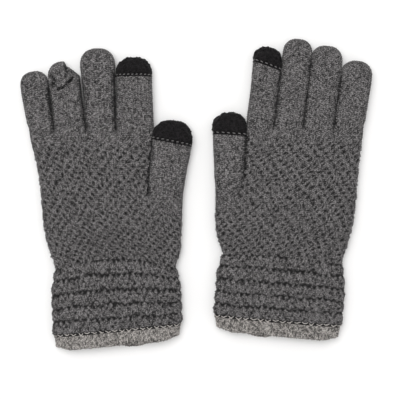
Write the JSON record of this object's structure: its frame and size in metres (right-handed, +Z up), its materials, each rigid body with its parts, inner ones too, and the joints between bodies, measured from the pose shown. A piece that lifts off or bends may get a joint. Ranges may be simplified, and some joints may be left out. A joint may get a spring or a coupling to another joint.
{
  "type": "pair of touchscreen gloves",
  "caption": "Pair of knitted winter gloves with textured hands, welted cuffs, pale hem bands and black conductive tips on index fingers and thumbs.",
  "frame": {"origin": "middle of the pair's footprint on the surface it lies on", "axes": "+X across the pair, from the left glove to the right; +Y towards the fingertips; +Z up off the surface"},
  "size_m": [0.2762, 0.2476, 0.0161],
  "materials": {
    "hand_knit": "raised moss knit in dark grey marl yarn",
    "stall_knit": "plain jersey knit in dark grey marl yarn",
    "cuff_knit": "gathered welted knit in dark grey marl yarn",
    "touch_knit": "soft black conductive knit",
    "tip_thread": "light grey sewing thread",
    "hem_knit": "light grey flecked rib band"
  },
  "bodies": {
    "left_hand_body": {"left_hand": "hand_knit"},
    "left_cuff_body": {"left_cuff": "cuff_knit", "left_hem": "hem_knit"},
    "left_little_lower": {"left_little_base": "stall_knit"},
    "left_little_upper": {"left_little_end": "stall_knit"},
    "left_ring_lower": {"left_ring_base": "stall_knit"},
    "left_ring_upper": {"left_ring_end": "stall_knit"},
    "left_middle_lower": {"left_middle_base": "stall_knit"},
    "left_middle_upper": {"left_middle_end": "stall_knit"},
    "left_index_lower": {"left_index_base": "stall_knit"},
    "left_index_upper": {"left_index_end": "stall_knit", "left_index_thread": "tip_thread", "left_index_tip": "touch_knit"},
    "left_thumb_lower": {"left_thumb_base": "stall_knit"},
    "left_thumb_upper": {"left_thumb_end": "stall_knit", "left_thumb_thread": "tip_thread", "left_thumb_tip": "touch_knit"},
    "right_hand_body": {"right_hand": "hand_knit"},
    "right_cuff_body": {"right_cuff": "cuff_knit", "right_hem": "hem_knit"},
    "right_little_lower": {"right_little_base": "stall_knit"},
    "right_little_upper": {"right_little_end": "stall_knit"},
    "right_ring_lower": {"right_ring_base": "stall_knit"},
    "right_ring_upper": {"right_ring_end": "stall_knit"},
    "right_middle_lower": {"right_middle_base": "stall_knit"},
    "right_middle_upper": {"right_middle_end": "stall_knit"},
    "right_index_lower": {"right_index_base": "stall_knit"},
    "right_index_upper": {"right_index_end": "stall_knit", "right_index_thread": "tip_thread", "right_index_tip": "touch_knit"},
    "right_thumb_lower": {"right_thumb_base": "stall_knit"},
    "right_thumb_upper": {"right_thumb_end": "stall_knit", "right_thumb_thread": "tip_thread", "right_thumb_tip": "touch_knit"}
  },
  "joints": [
    {"name": "right_glove_slide", "type": "slide", "parent": "left_hand_body", "child": "right_hand_body", "axis": [1, 0, 0], "range_m": [0, 0.12]},
    {"name": "left_little_root", "type": "hinge", "parent": "left_hand_body", "child": "left_little_lower", "pos_m": [-0.12217, 0.04855, 0.014], "axis": [0.9877, 0.1564, 0], "range_deg": [0, 75]},
    {"name": "left_little_fold", "type": "hinge", "parent": "left_little_lower", "child": "left_little_upper", "pos_m": [-0.12576, 0.0712, 0.014], "axis": [0.9877, 0.1564, 0], "range_deg": [0, 60]},
    {"name": "left_ring_root", "type": "hinge", "parent": "left_hand_body", "child": "left_ring_lower", "pos_m": [-0.09968, 0.04847, 0.014], "axis": [0.993, 0.1184, 0], "range_deg": [0, 75]},
    {"name": "left_ring_fold", "type": "hinge", "parent": "left_ring_lower", "child": "left_ring_upper", "pos_m": [-0.10283, 0.07491, 0.014], "axis": [0.993, 0.1184, 0], "range_deg": [0, 60]},
    {"name": "left_middle_root", "type": "hinge", "parent": "left_hand_body", "child": "left_middle_lower", "pos_m": [-0.07546, 0.04763, 0.014], "axis": [0.9986, 0.0523, 0], "range_deg": [0, 75]},
    {"name": "left_middle_fold", "type": "hinge", "parent": "left_middle_lower", "child": "left_middle_upper", "pos_m": [-0.07712, 0.07927, 0.014], "axis": [0.9986, 0.0523, 0], "range_deg": [0, 60]},
    {"name": "left_index_root", "type": "hinge", "parent": "left_hand_body", "child": "left_index_lower", "pos_m": [-0.04873, 0.04709, 0.014], "axis": [1, 0.0035, 0], "range_deg": [0, 75]},
    {"name": "left_index_fold", "type": "hinge", "parent": "left_index_lower", "child": "left_index_upper", "pos_m": [-0.04883, 0.07578, 0.014], "axis": [1, 0.0035, 0], "range_deg": [0, 60]},
    {"name": "left_thumb_root", "type": "hinge", "parent": "left_hand_body", "child": "left_thumb_lower", "pos_m": [-0.02478, 0.00164, 0.014], "axis": [0.9925, -0.1219, 0], "range_deg": [0, 75]},
    {"name": "left_thumb_fold", "type": "hinge", "parent": "left_thumb_lower", "child": "left_thumb_upper", "pos_m": [-0.02153, 0.02806, 0.014], "axis": [0.9925, -0.1219, 0], "range_deg": [0, 60]},
    {"name": "left_wrist_fold", "type": "hinge", "parent": "left_hand_body", "child": "left_cuff_body", "pos_m": [-0.06418, -0.05876, 0.014], "axis": [-0.9999, -0.017, 0], "range_deg": [0, 75]},
    {"name": "right_little_root", "type": "hinge", "parent": "right_hand_body", "child": "right_little_lower", "pos_m": [0.12006, 0.05132, 0.014], "axis": [0.9888, -0.1495, 0], "range_deg": [0, 75]},
    {"name": "right_little_fold", "type": "hinge", "parent": "right_little_lower", "child": "right_little_upper", "pos_m": [0.1239, 0.07673, 0.014], "axis": [0.9888, -0.1495, 0], "range_deg": [0, 60]},
    {"name": "right_ring_root", "type": "hinge", "parent": "right_hand_body", "child": "right_ring_lower", "pos_m": [0.09582, 0.05094, 0.014], "axis": [0.9928, -0.1201, 0], "range_deg": [0, 75]},
    {"name": "right_ring_fold", "type": "hinge", "parent": "right_ring_lower", "child": "right_ring_upper", "pos_m": [0.0996, 0.08216, 0.014], "axis": [0.9928, -0.1201, 0], "range_deg": [0, 60]},
    {"name": "right_middle_root", "type": "hinge", "parent": "right_hand_body", "child": "right_middle_lower", "pos_m": [0.07207, 0.05097, 0.014], "axis": [0.9921, -0.1253, 0], "range_deg": [0, 75]},
    {"name": "right_middle_fold", "type": "hinge", "parent": "right_middle_lower", "child": "right_middle_upper", "pos_m": [0.07633, 0.08468, 0.014], "axis": [0.9921, -0.1253, 0], "range_deg": [0, 60]},
    {"name": "right_index_root", "type": "hinge", "parent": "right_hand_body", "child": "right_index_lower", "pos_m": [0.04958, 0.05066, 0.014], "axis": [0.9942, -0.108, 0], "range_deg": [0, 75]},
    {"name": "right_index_fold", "type": "hinge", "parent": "right_index_lower", "child": "right_index_upper", "pos_m": [0.05292, 0.08147, 0.014], "axis": [0.9942, -0.108, 0], "range_deg": [0, 60]},
    {"name": "right_thumb_root", "type": "hinge", "parent": "right_hand_body", "child": "right_thumb_lower", "pos_m": [0.02462, 0.00658, 0.014], "axis": [1, -0.0035, 0], "range_deg": [0, 75]},
    {"name": "right_thumb_fold", "type": "hinge", "parent": "right_thumb_lower", "child": "right_thumb_upper", "pos_m": [0.02471, 0.03366, 0.014], "axis": [1, -0.0035, 0], "range_deg": [0, 60]},
    {"name": "right_wrist_fold", "type": "hinge", "parent": "right_hand_body", "child": "right_cuff_body", "pos_m": [0.06782, -0.05126, 0.014], "axis": [-0.9962, 0.0877, 0], "range_deg": [0, 75]}
  ],
  "couplings": [
    {"joint": "left_little_fold", "follows": "left_little_root", "ratio": 0.8},
    {"joint": "left_ring_fold", "follows": "left_ring_root", "ratio": 0.8},
    {"joint": "left_middle_fold", "follows": "left_middle_root", "ratio": 0.8},
    {"joint": "left_index_fold", "follows": "left_index_root", "ratio": 0.8},
    {"joint": "left_thumb_fold", "follows": "left_thumb_root", "ratio": 0.8},
    {"joint": "right_little_fold", "follows": "right_little_root", "ratio": 0.8},
    {"joint": "right_ring_fold", "follows": "right_ring_root", "ratio": 0.8},
    {"joint": "right_middle_fold", "follows": "right_middle_root", "ratio": 0.8},
    {"joint": "right_index_fold", "follows": "right_index_root", "ratio": 0.8},
    {"joint": "right_thumb_fold", "follows": "right_thumb_root", "ratio": 0.8}
  ]
}
